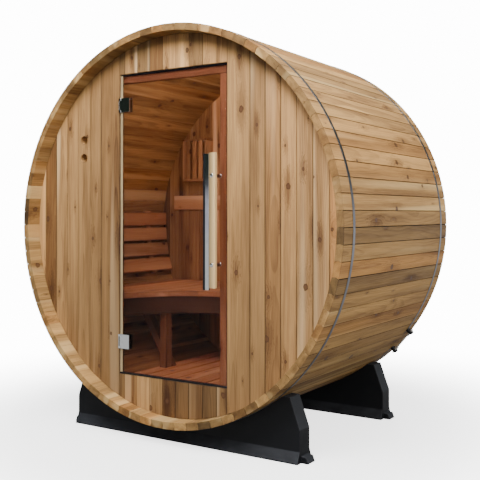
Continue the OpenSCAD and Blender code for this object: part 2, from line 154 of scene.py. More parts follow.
def wood(name, light, dark, pale, red, knots, rough, contrast=1.0, coat=0.0, painted_height_light=False):
    """Sawn softwood. The "grain" attribute is a place in the board's own tree
    (across, depth, along); "tone" is (brightness, redness, end grain)."""
    g = Graph(name, IOR=1.45, Specular_IOR_Level=0.35, Coat_Weight=coat, Coat_Roughness=0.18)
    grain, tone = g.attribute("grain"), g.attribute("tone")
    across, depth, along = g.split(grain)
    value, redness, end = g.split(tone)

    def streaky(cells, seed, detail=2.0, roughness=0.5):
        """Noise drawn out along the board."""
        return g.noise(g.stretch(grain, cells[0], cells[0], cells[1]), detail, roughness, seed)

    # Knots: round, running through the board's depth
    spot = g.node("CombineXYZ", {"X": g.math("MULTIPLY", across, KNOT_CELLS[0]),
                                 "Y": g.math("MULTIPLY", along, KNOT_CELLS[1])}).outputs[0]
    nearest = g.node("TexVoronoi", {"Vector": spot, "Scale": 1.0, "Randomness": 0.85},
                     voronoi_dimensions="2D")
    offset = g.node("VectorMath", {0: spot, 1: nearest.outputs["Position"]},
                    operation="SUBTRACT").outputs[0]
    wobble = g.ramp(streaky(WOBBLE_CELLS, 3.0), 0.2, 0.8, 0.8, 1.2)
    pick, size, _ = g.split(nearest.outputs["Color"])
    radius = g.ramp(size, 0.0, 1.0, KNOT_MIN_R, KNOT_MAX_R)
    there = g.math("GREATER_THAN", pick, 1.0 - knots)

    def around(squeeze):
        """Distance from the nearest knot, in its own radii, times a wobble. The part of
        it along the board counts for less."""
        away = g.node("VectorMath", {0: g.stretch(offset, 1 / KNOT_CELLS[0],
                                                  squeeze / KNOT_CELLS[1], 0.0)},
                      operation="LENGTH").outputs[1]
        return g.math("DIVIDE", g.math("MULTIPLY", away, wobble), radius)

    ratio = around(0.8)
    knot = g.math("MULTIPLY", g.ramp(ratio, 1.1, 0.8), there)
    rim = g.math("MULTIPLY", knot, g.ramp(ratio, 0.4, 1.0))
    halo = g.math("MULTIPLY", g.ramp(around(0.30), 3.6, 0.6), there)

    # Growth rings: distance from the pith, bent by slow noise, taper and knots
    flat = g.node("CombineXYZ", {"X": across, "Y": depth}).outputs[0]
    pith = g.node("VectorMath", {0: flat}, operation="LENGTH").outputs[1]
    trunk = g.math("ADD", pith, g.math("MULTIPLY", along, TAPER))
    trunk = g.math("MULTIPLY_ADD", streaky(WARP_CELLS, 1.0, detail=3.0), RING_WARP, trunk)
    trunk = g.math("MULTIPLY_ADD", halo, RING_BEND, trunk)
    phase = g.math("FRACT", g.math("DIVIDE", trunk, RING))
    late = g.math("MULTIPLY", g.ramp(phase, 0.35, 0.92), g.ramp(phase, 1.0, 0.94))
    years = g.node("CombineXYZ", {"X": g.math("MULTIPLY", trunk, YEAR_CELLS[0]),
                                  "Z": g.math("MULTIPLY", along, YEAR_CELLS[1])}).outputs[0]
    years = g.ramp(g.noise(years, detail=3.0, rough=0.6, seed=2.0), 0.3, 0.72)

    # Fibre, slower streaks that follow it, and paler sapwood
    fibre = streaky(FIBRE_CELLS, 4.0, detail=3.0, roughness=0.65)
    streak = streaky(STREAK_CELLS, 5.0, detail=5.0, roughness=0.62)
    sap = g.ramp(streaky(SAP_CELLS, 6.0, detail=1.0), 0.56, 0.66)

    shade = g.math("MULTIPLY", years, YEARS_SHADE * contrast)
    shade = g.math("MULTIPLY_ADD", late, LATE_SHADE * contrast, shade)
    shade = g.math("MULTIPLY_ADD", g.ramp(streak, 0.34, 0.68), STREAK_SHADE * contrast, shade)
    shade = g.math("MULTIPLY_ADD", g.ramp(fibre, 0.3, 0.75), FIBRE_SHADE * contrast, shade)
    shade = g.math("MULTIPLY_ADD", halo, HALO_SHADE, shade)
    base = g.mix(g.math("ADD", shade, 0.0, clamp=True), light, dark)
    base = g.mix(g.math("MULTIPLY", sap, 0.6), base, pale)
    base = g.mix(g.ramp(redness, 0.35, 1.0, 0.0, 0.8), base, red, blend="MULTIPLY")
    bright = g.math("MULTIPLY_ADD", value, TONE_SPAN, TONE_BASE)
    bright = g.math("MULTIPLY", bright, g.ramp(end, 0.0, 1.0, 1.0, END_GRAIN))
    if painted_height_light:
        # Painted shade and light: the timber is darker towards the ground and brighter high up,
        # as lamps from above would make it
        height = g.split(place(g, 1.0, 1.0, 1.0))[2]
        bright = g.math("MULTIPLY", bright, g.ramp(height, LOW_Z, HIGH_Z, LOW_PAINTED_SHADE, HIGH_PAINTED_LIGHT))
    grey = g.node("CombineXYZ", {axis: bright for axis in "XYZ"}).outputs[0]
    base = g.mix(1.0, base, grey, blend="MULTIPLY")
    base = g.mix(g.math("MULTIPLY", knot, 0.88), base, KNOT_BROWN)
    base = g.mix(g.math("MULTIPLY", rim, 0.65), base, RIM_BROWN)
    g.put(g.shader.inputs["Base Color"], base)

    # Knots are smoother, and their rims and the early wood lie lower
    worn = g.ramp(fibre, 0.25, 0.75, rough - 0.10, rough + 0.14)
    g.put(g.shader.inputs["Roughness"], g.math("MULTIPLY_ADD", knot, -0.18, worn))
    relief = g.math("MULTIPLY_ADD", late, 0.35, g.math("MULTIPLY", fibre, 0.8))
    g.bump(g.math("MULTIPLY_ADD", rim, -0.9, relief), 0.45, 0.5 * MM)
    return g.material


# Smudges on steel: cells per metre, and the share of red, green and blue they leave
SMUDGE_CELLS, SMUDGED = 38.0, (0.45, 0.42, 0.36)


def steel(name, tint, rough, brushed, dirt=0.25, bump=0.0):
    """Bare or polished steel with smudges. Brushed is the marks' cells per metre
    along each axis."""
    g = Graph(name, Metallic=1.0)
    lines = g.noise(place(g, *brushed), detail=3.0, rough=0.6)
    smudge = g.noise(place(g, SMUDGE_CELLS, SMUDGE_CELLS, SMUDGE_CELLS), detail=4.0, rough=0.6,
                     seed=2.0)
    dull = g.math("MULTIPLY", g.ramp(smudge, 0.42, 0.75), dirt)
    dulled = colour(*(channel * share for channel, share in zip(tint, SMUDGED)))
    g.put(g.shader.inputs["Base Color"], g.mix(dull, tint, dulled))
    spread = g.math("MULTIPLY_ADD", lines, rough * 0.7, rough * 0.65)
    g.put(g.shader.inputs["Roughness"], g.math("MULTIPLY_ADD", dull, 0.25, spread))
    if bump:
        g.bump(lines, bump, 0.1 * MM)
    return g.material


PIT_CELLS, CLOUD_CELLS = (900.0, 900.0, 900.0), (9.0, 9.0, 14.0)
MOULDED_BLACK, MOULDED_DUST = colour(0.0042, 0.0048, 0.0066), colour(0.028, 0.030, 0.036)


def moulded(name):
    """Dark moulded plastic, rubber or paint: a finely pitted surface, with dust on
    what faces up."""
    g = Graph(name, Specular_IOR_Level=0.28)
    pits = g.node("TexVoronoi", {"Vector": place(g, *PIT_CELLS), "Scale": 1.0})
    cloud = g.noise(place(g, *CLOUD_CELLS), detail=4.0, rough=0.6)
    up = g.split(g.node("NewGeometry").outputs["Normal"])[2]
    dust = g.math("MULTIPLY", g.ramp(up, 0.05, 0.45), g.ramp(cloud, 0.3, 0.7, 0.45, 1.0))
    g.put(g.shader.inputs["Base Color"], g.mix(dust, MOULDED_BLACK, MOULDED_DUST))
    g.put(g.shader.inputs["Roughness"],
          g.math("MULTIPLY_ADD", dust, 0.18, g.ramp(cloud, 0.2, 0.8, 0.42, 0.58)))
    g.bump(g.math("MULTIPLY_ADD", cloud, 2.0, pits.outputs["Distance"]), 0.25, 0.25 * MM)
    return g.material


GRIME_CELLS = (60.0, 60.0, 5.0)
YELLOWED, GRIMY = colour(0.38, 0.28, 0.15), colour(0.24, 0.16, 0.08)


def pale_plastic(name):
    """A yellowed clear profile, with grime along it."""
    g = Graph(name, Roughness=0.35, Specular_IOR_Level=0.5)
    grime = g.noise(place(g, *GRIME_CELLS), detail=4.0, rough=0.6)
    g.put(g.shader.inputs["Base Color"], g.mix(g.ramp(grime, 0.35, 0.75), YELLOWED, GRIMY))
    g.bump(grime, 0.15, 0.3 * MM)
    return g.material


def glazing(name, tint, shadow):
    """Tinted glass. Light goes straight through it and takes the shadow's tint, so
    that the cabin needs no caustics to be lit."""
    g = Graph(name, Base_Color=tint, Roughness=0.0, IOR=1.15, Transmission_Weight=1.0,
              Specular_IOR_Level=0.5)
    lit = g.node("LightPath").outputs["Is Shadow Ray"]
    clear = g.node("BsdfTransparent", {"Color": shadow}).outputs[0]
    g.show(g.node("MixShader", {0: lit, 1: g.shader.outputs[0], 2: clear}))
    return g.material


# Timbers: name, early wood, late wood, sapwood, and what multiplies a red board
MATERIAL = {
    "stave": wood("stave_timber", colour(0.58, 0.340, 0.118), colour(0.150, 0.070, 0.022),
                  colour(0.68, 0.455, 0.195), colour(1.0, 0.82, 0.64), knots=0.7, rough=0.60),
    "board": wood("wall_timber", colour(0.54, 0.305, 0.116), colour(0.110, 0.048, 0.017),
                  colour(0.72, 0.490, 0.255), colour(1.0, 0.78, 0.60), knots=0.75, rough=0.60,
                  painted_height_light=True),
    "bench": wood("bench_timber", colour(0.54, 0.30, 0.13), colour(0.28, 0.125, 0.045),
                  colour(0.64, 0.41, 0.21), colour(1.0, 0.76, 0.60), knots=0.4, rough=0.55),
    "handle": wood("handle_timber", colour(0.47, 0.34, 0.17), colour(0.28, 0.18, 0.08),
                   colour(0.58, 0.44, 0.25), colour(1.0, 0.85, 0.70), knots=0.0, rough=0.42,
                   contrast=0.7, coat=0.5),
    "band": steel("band_steel", colour(0.20, 0.20, 0.21), 0.36, (60.0, 900.0, 60.0), bump=0.2),
    "tensioner": steel("tensioner_steel", colour(0.70, 0.70, 0.69), 0.52, (300.0, 300.0, 300.0),
                       dirt=0.35),
    "cast": moulded("painted_steel"),
    "rubber": moulded("seal_rubber"),
    "pale": pale_plastic("edge_plastic"),
    "chrome": steel("polished_steel", colour(0.66, 0.67, 0.66), 0.07, (260.0, 260.0, 14.0),
                    dirt=0.12),
    "plastic": moulded("moulded_plastic"),
    "glass": glazing("tinted_glass", colour(0.73, 0.575, 0.60), colour(0.38, 0.30, 0.26)),
}


# ---------------------------------------------------------------- mesh making

MITRE_MIN = 0.25      # keeps an inset corner from shooting far out where the outline is sharp
CORNER_SHARE = 0.45   # the most of a side that one rounded corner may take


def loft(bm, rings):
    """Skins a row of equal rings of points, and closes both ends."""
    rows = [[bm.verts.new(p) for p in ring] for ring in rings]
    n = len(rows[0])
    for a, b in zip(rows, rows[1:]):
        for i in range(n):
            bm.faces.new((a[i], a[(i + 1) % n], b[(i + 1) % n], b[i]))
    bm.faces.new(rows[0][::-1])
    bm.faces.new(rows[-1])


def inset(outline, d):
    """A counter-clockwise outline moved inwards by d."""
    out = []
    n = len(outline)
    for i, (x, y) in enumerate(outline):
        (px, py), (qx, qy) = outline[i - 1], outline[(i + 1) % n]
        a = Vector((x - px, y - py)).normalized()
        b = Vector((qx - x, qy - y)).normalized()
        na, nb = Vector((-a.y, a.x)), Vector((-b.y, b.x))
        m = na + nb
        m = m / max(m.dot(m) / 2, MITRE_MIN)
        out.append((x + m.x * d, y + m.y * d))
    return out


def rounded(outline, radii, steps=3):
    """A counter-clockwise outline with its corners rounded."""
    out = []
    n = len(outline)
    for i, (p, r) in enumerate(zip(outline, radii)):
        p = Vector(p)
        a = Vector(outline[i - 1]) - p
        b = Vector(outline[(i + 1) % n]) - p
        r = min(r, a.length * CORNER_SHARE, b.length * CORNER_SHARE)
        if r <= 0:
            out.append(tuple(p))
            continue
        a, b = a.normalized() * r, b.normalized() * r
        for k in range(steps + 1):
            t = k / steps
            q = p + a * (1 - t) ** 2 + b * t ** 2
            out.append(tuple(q))
    return out


def prism(bm, outline, lo, hi, at, edge, steps=2):
    """An outline drawn along a line from lo to hi, with rounded ends. at(u, v, w)
    gives the place of a point."""
    rings = []
    for end, sign in ((lo, 1), (hi, -1)):
        part = []
        for k in range(steps + 1):
            a = math.pi / 2 * k / steps
            shape = inset(outline, edge * (1 - math.sin(a)))
            w = end + sign * edge * (1 - math.cos(a))
            part.append([at(u, v, w) for u, v in shape])
        rings += part if sign > 0 else part[::-1]
    loft(bm, rings)


def islands(bm):
    """The bmesh's loose parts, as lists of faces."""
    bm.faces.ensure_lookup_table()
    seen, found = set(), []
    for face in bm.faces:
        if face.index in seen:
            continue
        group, stack = [], [face]
        seen.add(face.index)
        while stack:
            f = stack.pop()
            group.append(f)
            for e in f.edges:
                for g in e.link_faces:
                    if g.index not in seen:
                        seen.add(g.index)
                        stack.append(g)
        found.append(group)
    return found


ALIGNED = 0.93        # a board this nearly along an axis is taken as along it
PARALLEL = 0.9        # an axis this nearly along a direction is no help across it
DIRECTIONS = 24       # tried when a board's thickness is looked for


def board_axes(points, along):
    """Unit directions (across, depth, along) for one board."""
    if along is None:
        middle = sum(points, Vector()) / len(points)
        far = max(points, key=lambda p: (p - middle).length)
        near = max(points, key=lambda p: (p - far).length)
        along = (far - near).normalized()
        for axis in (X, Y, Z):
            if abs(along.dot(axis)) > ALIGNED:
                along = axis
    other = Y if abs(along.y) < PARALLEL else X
    u = other.cross(along).normalized()
    v = along.cross(u)
    spans = []
    for k in range(DIRECTIONS):
        a = math.pi * k / DIRECTIONS
        d = u * math.cos(a) + v * math.sin(a)
        values = [p.dot(d) for p in points]
        spans.append((max(values) - min(values), k, d))
    depth = min(spans)[2]
    return along.cross(depth), depth, along


NEAREST_PITH, TREE_LENGTH = 0.03, 60.0      # metres; long, so that no two boards match


def cut_from_tree(rng, across, deep):
    """Where in its tree a board was cut: at most across and deep from the pith."""
    return Vector((rng.uniform(-across, across),
                   rng.choice((-1, 1)) * rng.uniform(NEAREST_PITH, deep),
                   rng.uniform(0.0, TREE_LENGTH)))


def clamped(value, low, high):
    return min(max(value, low), high)


END_FACE = 0.75                   # a face turned this much along the board is its end
GROOVE_FACES = (0.15, 0.97)       # a face turned this much to the depth is an eased edge
# Eased edges are darkened by this much, as painted shade in the grooves between boards
GROOVE_SHADE = 0.55


def grow(bm, rng, along=None, unroll=None, tones=(0.5, 0.5), spread=0.25):
    """Gives every board in the bmesh its own place in a tree, and its own tone. A bent
    board is straightened by unroll. Tones are the mean brightness and redness."""
    grain = bm.loops.layers.float_vector.new("grain")
    tone = bm.loops.layers.float_vector.new("tone")
    for group in islands(bm):
        points = sorted((v.co.copy() for v in {v for f in group for v in f.verts}), key=tuple)
        shift = cut_from_tree(rng, 0.06, 0.13)
        value = clamped(rng.gauss(tones[0], spread), -0.6, 1.3)
        redness = rng.random() ** 1.3 * 2 * tones[1]
        if unroll:
            middle = unroll(points[0])
        else:
            axes = board_axes(points, along)
            middle = Vector([sum(p.dot(a) for p in points) / len(points) for a in axes])
        for face in group:
            cut = painted_groove_shade = 0.0
            if not unroll:
                if abs(face.normal.dot(axes[2])) > END_FACE:
                    cut = 1.0
                elif GROOVE_FACES[0] < abs(face.normal.dot(axes[1])) < GROOVE_FACES[1]:
                    painted_groove_shade = GROOVE_SHADE
            for loop in face.loops:
                here = loop.vert.co
                here = unroll(here) if unroll else Vector([here.dot(a) for a in axes])
                loop[grain] = here - middle + shift
                loop[tone] = (value - painted_groove_shade, redness, cut)


SAME_PLACE = 0.02 * MM     # CAD corners nearer than this are one
FLAT = math.radians(0.8)   # CAD triangles meeting flatter than this are one face


def from_cad(*nodes):
    """A clean copy of CAD nodes' meshes, in one bmesh."""
    bm = bmesh.new()
    for node in nodes:
        bm.from_mesh(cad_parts[node].data)
    bmesh.ops.remove_doubles(bm, verts=bm.verts, dist=SAME_PLACE)
    bmesh.ops.dissolve_limit(bm, angle_limit=FLAT, verts=bm.verts, edges=bm.edges)
    return bm


def sawn(bm, axis, cuts, gap):
    """Cuts the bmesh into boards at places along an axis, and returns a new one."""
    whole = bmesh.new()
    bounds = [None] + sorted(cuts) + [None]
    for lo, hi in zip(bounds, bounds[1:]):
        part = bm.copy()
        for stop, sign in ((lo, -1), (hi, 1)):
            if stop is None:
                continue
            bmesh.ops.bisect_plane(
                part, geom=part.verts[:] + part.edges[:] + part.faces[:], dist=1e-6,
                plane_co=axis * (stop - sign * gap / 2), plane_no=axis * sign, clear_outer=True)
            bmesh.ops.holes_fill(part, edges=[e for e in part.edges if e.is_boundary], sides=0)
        if part.faces:
            mesh = bpy.data.meshes.new("part")
            part.to_mesh(mesh)
            whole.from_mesh(mesh)
            bpy.data.meshes.remove(mesh)
        part.free()
    bm.free()
    return whole


def eased(bm, width, segments=2, angle=28):
    """Rounds every sharp edge."""
    edges = [e for e in bm.edges if len(e.link_faces) == 2
             and e.calc_face_angle(0) > math.radians(angle)]
    bmesh.ops.bevel(bm, geom=edges, offset=width, segments=segments, profile=0.5,
                    affect="EDGES", clamp_overlap=True)
    return bm


def piece(bm, name, nodes, body, materials, smooth=32):
    """Turns the bmesh into an object on a body, which stands for its CAD nodes if it
    has any. Edges sharper than smooth degrees stay sharp."""
    bmesh.ops.recalc_face_normals(bm, faces=bm.faces)
    mesh = bpy.data.meshes.new(name)
    bm.to_mesh(mesh)
    bm.free()
    for key in materials.split():
        mesh.materials.append(MATERIAL[key])
    mesh.shade_smooth()
    mesh.set_sharp_from_angle(angle=math.radians(smooth))
    obj = bpy.data.objects.new(name, mesh)
    bpy.context.scene.collection.objects.link(obj)
    weigh = obj.modifiers.new("normals", "WEIGHTED_NORMAL")
    weigh.keep_sharp = True
    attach(obj, body)
    if nodes:
        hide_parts(*nodes)


# ---------------------------------------------------------------- the barrel

shells = [f"shell_{i:02d}" for i in range(1, 13)]
corners = [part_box(n) for n in shells]
HALF_L = max(hi.y for _, hi in corners)
BARREL_R = max(hi.x for _, hi in corners)
AXIS_Z = (max(hi.z for _, hi in corners) + min(lo.z for lo, _ in corners)) / 2
INNER_R = min(Vector((v.co.x, v.co.z - AXIS_Z)).length
              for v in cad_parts["shell_01"].data.vertices)
STAVES = 84
PER_SHELL = STAVES // len(shells)
JOINT, OPEN_JOINT = 0.25 * MM, 0.9 * MM   # half a joint's width, inside and on the outside
BEAD, BEAD_FROM, BEAD_SPAN = 3.2 * MM, 0.2, 0.6   # its height, and where it lies on the edge
INNER_EASE, OUTER_EASE, STAVE_END_EASE = 1.0 * MM, 2.4 * MM, 1.6 * MM
SIDE_STEPS, CORNER_STEPS = 8, 3


def stave_outline():
    """One stave across the grain: flat faces, a bead on one edge, a cove on the other."""
    half = math.pi / STAVES
    outer = Vector((BARREL_R * math.sin(half) - JOINT, BARREL_R * math.cos(half)))
    inner = Vector((INNER_R * math.tan(half) - JOINT, INNER_R))

    def side(sign):
        points = []
        for k in range(1, SIDE_STEPS):
            t = k / SIDE_STEPS
            p = inner.lerp(outer, t)
            x = sign * p.x
            if t > BEAD_FROM + BEAD_SPAN:
                x -= sign * (OPEN_JOINT - JOINT)
            elif t > BEAD_FROM:
                x += BEAD * math.sin(math.pi * (t - BEAD_FROM) / BEAD_SPAN)
            points.append((x, p.y))
        return points

    foot = [(inner.x - INNER_EASE, inner.y), (inner.x, inner.y + INNER_EASE)]
    corner = (outer.x - OPEN_JOINT + JOINT - OUTER_EASE, outer.y - OUTER_EASE)
    turns = [math.pi / 2 * k / CORNER_STEPS for k in range(CORNER_STEPS + 1)]
    top = [(corner[0] + OUTER_EASE * math.cos(a), corner[1] + OUTER_EASE * math.sin(a))
           for a in turns]
    return (foot + side(1) + top + [(-x, y) for x, y in top[::-1]] + side(-1)[::-1]
            + [(-x, y) for x, y in foot[::-1]])


def stave_tone(value, facing, endways):
    """Brightness of a stave's face: facing is 1 outside and -1 inside, endways is 1 on
    the end ring."""
    if facing < -0.5:
        # Painted shade inside the cabin: darker, and more alike
        return 0.32 + 0.35 * (value - 0.5)
    if endways > END_FACE:
        # The ends differ more than the faces do
        return 0.5 + 1.35 * (value - 0.5)
    if 0.1 < facing < 0.93 or endways > 0.2:
        # Rounded edges, darkened as painted shade in the joints between staves
        return value - 0.8
    return value


STAVE_SEED = 100
OUTLINE = stave_outline()
for i, shell in enumerate(shells):
    rng = random.Random(STAVE_SEED + i)
    whole = bmesh.new()
    grain = whole.loops.layers.float_vector.new("grain")
    tone = whole.loops.layers.float_vector.new("tone")
    for k in range(PER_SHELL):
        a = 2 * math.pi * (i * PER_SHELL + k + 0.5) / STAVES
        out, side = Vector((math.cos(a), 0, math.sin(a))), Vector((-math.sin(a), 0, math.cos(a)))
        start = len(whole.faces)
        prism(whole, OUTLINE, -HALF_L, HALF_L,
              lambda u, v, w: out * v + side * u + Y * w + Z * AXIS_Z, STAVE_END_EASE)
        whole.faces.ensure_lookup_table()
        shift = cut_from_tree(rng, 0.05, 0.12)
        value = clamped(rng.gauss(0.55, 0.32), -0.15, 1.2)
        redness = rng.random() ** 1.2
        for face in whole.faces[start:]:
            face.normal_update()
            endways = abs(face.normal.y)
            shown = stave_tone(value, face.normal.dot(out), endways)
            for loop in face.loops:
                p = loop.vert.co - Z * AXIS_Z
                loop[grain] = Vector((p.dot(side), p.dot(out) - INNER_R, p.y)) + shift
                loop[tone] = (shown, redness, float(endways > END_FACE))
    piece(whole, f"staves_{i + 1:02d}", [shell], "cabin", "stave")


# ---------------------------------------------------------------- end walls

PITCH = 80 * MM                  # one wall board
NARROWEST = 10 * MM              # no joint nearer than this to a wall part's edge
BOARD_JOINT, BOARD_EASE = 1.2 * MM, 2.8 * MM
TONGUE_U, TONGUE_V = 3.5 * MM, 4 * MM       # half a tongue's width and thickness
TONGUE_END, WALL_ROOM = 6 * MM, 2 * MM      # how far tongues stay from ends and staves
RIGHT_FIRST, MIDDLE_FIRST = 125 * MM, 33 * MM   # first joints, from the doorway's sides
door_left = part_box("front_wall_left")[1].x
door_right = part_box("front_wall_right")[0].x
vent_lo, vent_hi = (p.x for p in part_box("vent_board"))


def tongue(bm, x, y, z0, z1):
    """A tongue inside a joint, so that no light passes between two boards."""
    outline = [(-TONGUE_U, -TONGUE_V), (TONGUE_U, -TONGUE_V), (TONGUE_U, TONGUE_V),
               (-TONGUE_U, TONGUE_V)]
    loft(bm, [[Vector((x + u, y + v, z)) for u, v in outline] for z in (z0, z1)])


def wall(node, joints, seed, tones=(0.5, 0.5)):
    """A wall part as upright boards, with a tongue in each joint between them."""
    lo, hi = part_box(node)
    joints = [x for x in joints if lo.x + NARROWEST < x < hi.x - NARROWEST]
    bm = eased(sawn(from_cad(node), X, joints, BOARD_JOINT), BOARD_EASE)
    for x in joints:
        reach = math.sqrt(max((INNER_R - WALL_ROOM) ** 2 - x ** 2, 0))
        tongue(bm, x, (lo.y + hi.y) / 2, max(lo.z, AXIS_Z - reach) + TONGUE_END,
               min(hi.z, AXIS_Z + reach) - TONGUE_END)
    grow(bm, random.Random(seed), along=Z, tones=tones, spread=0.42)
    piece(bm, node + "_boards", [node], "cabin", "board")


left_joints = [vent_hi + PITCH] + [vent_lo - PITCH * k for k in (1, 2, 3)]
right_joints = [door_right + RIGHT_FIRST + PITCH * k for k in range(6)]
middle_joints = [door_left + MIDDLE_FIRST + PITCH * k for k in range(-8, 18)]
wall("front_wall_outer_left", left_joints, 11, (0.62, 0.75))
wall("vent_board", [], 12, (0.75, 0.2))
wall("front_wall_left", left_joints, 23, (0.62, 0.4))
wall("front_header", middle_joints, 14, (0.5, 0.4))
wall("front_sill", middle_joints, 15, (0.4, 0.4))
wall("front_wall_right", right_joints, 16, (0.45, 0.5))
wall("rear_wall", middle_joints, 17)


# ---------------------------------------------------------------- the inside

SEAT_BOARD = 92 * MM
SHADE_FRAME = 12 * MM


def boards(node, seed, cuts=(), gap=6 * MM, ease=1.5 * MM, along=None, unroll=None,
           tones=(0.5, 0.5)):
    """A node's planks, sawn apart at the places in cuts: (axis, places) pairs."""
    bm = from_cad(node)
    for axis, places in cuts:
        bm = sawn(bm, axis, places, gap)
    eased(bm, ease)
    grow(bm, random.Random(seed), along=along, unroll=unroll, tones=tones)
    piece(bm, node + "_wood", [node], "cabin", "bench")


def evenly(node, axis, width):
    """Places that divide a node's length along an axis into about equal boards."""
    lo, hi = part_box(node)
    a, b = lo.dot(axis), hi.dot(axis)
    n = max(1, round((b - a) / width))
    return [a + (b - a) * k / n for k in range(1, n)]


def round_axis_y(p):
    """Straightens a board that is bent round the barrel's axis."""
    r = Vector((p.x, p.z - AXIS_Z))
    return Vector((p.y, r.length, math.atan2(r.y, abs(r.x)) * r.length))

wall_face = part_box("front_wall_left")[1].y


def round_seat(p):
    """Straightens the apron, which is bent round the space before the bench."""
    r = Vector((p.x, p.y - wall_face))
    return Vector((p.z, r.length, math.atan2(r.y, r.x) * r.length))


# Painted shade: both door stops are given dark tones, so that the gap round the glass looks dark
boards("door_stop_side", 31, along=Z, tones=(-0.4, 0.0))
boards("door_stop_head", 32, along=X, tones=(-0.1, 0.0))
boards("floor_bearers", 33)
boards("floor_boards", 34, along=Y, tones=(0.85, 0.3))
for node, seed, axis, along in (("seat_left", 35, X, Y), ("seat_right", 36, X, Y),
                                ("seat_rear", 37, Y, X)):
    boards(node, seed, cuts=[(axis, evenly(node, axis, SEAT_BOARD))], along=along,
           ease=2.5 * MM, tones=(0.45, 0.4))
# Painted shade: the apron under the seat is given a very dark tone
boards("bench_apron", 38, unroll=round_seat, tones=(-0.6, 0.1))
boards("bench_cleats", 39)
# Painted shade: the posts and braces under the seat are given darker tones
boards("bench_posts", 40, along=Z, tones=(-0.1, 0.3))
boards("bench_braces", 41, tones=(-0.1, 0.3))
boards("backrest_left", 42, along=Y, ease=3 * MM)
boards("backrest_right", 43, along=Y, ease=3 * MM)
boards("backrest_bearers", 44, unroll=round_axis_y)
boards("back_rail", 45, along=X, ease=3 * MM)
shade_lo, shade_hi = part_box("lamp_shade")
boards("lamp_shade", 46, cuts=[(X, [shade_lo.x + SHADE_FRAME, shade_hi.x - SHADE_FRAME]),
                               (Z, [shade_lo.z + SHADE_FRAME, shade_hi.z - SHADE_FRAME])],
       gap=0.2 * MM, ease=1 * MM)


# ---------------------------------------------------------------- the door

def refined(node, name, ease, material, body="door", segments=2, angle=28, smooth=32):
    """A node's CAD shape as it is, with its sharp edges eased."""
    piece(eased(from_cad(node), ease, segments, angle), name, [node], body, material,
          smooth)


refined("door_glass", "door_pane", 0.9 * MM, "glass")
refined("hinge_clamps", "hinge_plates", 1.0 * MM, "chrome")
refined("hinge_brackets", "hinge_leaves", 0.5 * MM, "chrome", body="cabin")

# The pull bar: a black strip along its left edge, polished beside it
black_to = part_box("handle_bar")[0].x + 12 * MM
bar = eased(sawn(from_cad("handle_bar"), X, [black_to], 0.3 * MM), 0.9 * MM)
for face in bar.faces:
    face.material_index = int(face.calc_center_median().x < black_to)
piece(bar, "pull_bar", ["handle_bar"], "door", "chrome cast")

grip_lo, grip_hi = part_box("handle_grip")
pane_lo, pane_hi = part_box("door_glass")
post_lo, post_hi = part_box("handle_standoffs")
POST_R = (post_hi.x - post_lo.x) / 2
GRIP_CORNER, GRIP_END_EASE = 5 * MM, 1.5 * MM
SOCKET_R, SOCKET_DEPTH = 3.2 * MM, 1.6 * MM   # the hexagon in each screw's head


def ring_of(r, n, hexed):
    """A circle of n points, or a hexagon whose flats are r from its middle."""
    points = []
    for k in range(n):
        a = 2 * math.pi * k / n
        radius = r / math.cos((a + math.pi / 6) % (math.pi / 3) - math.pi / 6) if hexed else r
        points.append((radius * math.cos(a), radius * math.sin(a)))
    return points


def turned(bm, centre, axis, profile, n=24):
    """A turned part: profile is (distance along axis, radius, hexagonal or not)."""
    across = Z if abs(axis.z) < PARALLEL else X
    u = across.cross(axis).normalized()
    v = axis.cross(u)
    loft(bm, [[centre + axis * w + u * a + v * b for a, b in ring_of(r, n, hexed)]
              for w, r, hexed in profile])


grip = bmesh.new()
prism(grip, rounded([(grip_lo.x, grip_lo.y), (grip_hi.x, grip_lo.y), (grip_hi.x, grip_hi.y),
                     (grip_lo.x, grip_hi.y)], [GRIP_CORNER] * 4, 5),
      grip_lo.z, grip_hi.z, lambda u, v, w: Vector((u, v, w)), GRIP_END_EASE, 3)
bmesh.ops.recalc_face_normals(grip, faces=grip.faces)
grow(grip, random.Random(51), along=Z, tones=(0.45, 0.3))
tone = grip.loops.layers.float_vector["tone"]
for face in grip.faces:
    for loop in face.loops:
        # Painted shade on the left of the grip and painted light on its right, where the lamps
        # catch its side
        loop[tone].x = 1.75 * (loop.vert.co.x - grip_lo.x) / (grip_hi.x - grip_lo.x) - 0.35
piece(grip, "grip_wood", ["handle_grip"], "door", "handle")

posts = bmesh.new()
post_x = (post_lo.x + post_hi.x) / 2
head = grip_lo.y - post_lo.y
gap = pane_lo.y - grip_hi.y
for z in (post_lo.z + POST_R, post_hi.z - POST_R):
    # The screw's domed head on the grip, then the collar between grip and glass
    turned(posts, Vector((post_x, grip_lo.y, z)), -Y,
           [(0, POST_R, False), (head - 1.9 * MM, POST_R, False),
            (head - 1.2 * MM, POST_R - 1.0 * MM, False),
            (head - 0.5 * MM, POST_R - 2.6 * MM, False), (head, POST_R - 4.6 * MM, False),
            (head, SOCKET_R, True), (head - SOCKET_DEPTH, SOCKET_R, True)])
    waist = POST_R - 0.8 * MM
    turned(posts, Vector((post_x, pane_lo.y, z)), -Y,
           [(0, POST_R, False), (1.5 * MM, POST_R, False), (2.2 * MM, waist, False),
            (gap - 2.2 * MM, waist, False), (gap - 1.5 * MM, POST_R, False),
            (gap, POST_R, False)])
piece(posts, "handle_posts", ["handle_standoffs"], "door", "chrome")


# ---------------------------------------------------------------- cradles

# The small angles keep the crease where the feet slope
for node in ("front_cradle", "rear_cradle"):
    refined(node, node + "_moulding", 3.0 * MM, "plastic", body="cabin",
            segments=3, angle=14, smooth=14)


# ---------------------------------------------------------------- bands

band_lo, band_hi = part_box("bands")
BAND_R = max(Vector((v.co.x, v.co.z - AXIS_Z)).length
             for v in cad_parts["bands"].data.vertices)
BAND_T, BAND_W, BAND_STEPS = 1.5 * MM, 20 * MM, 252
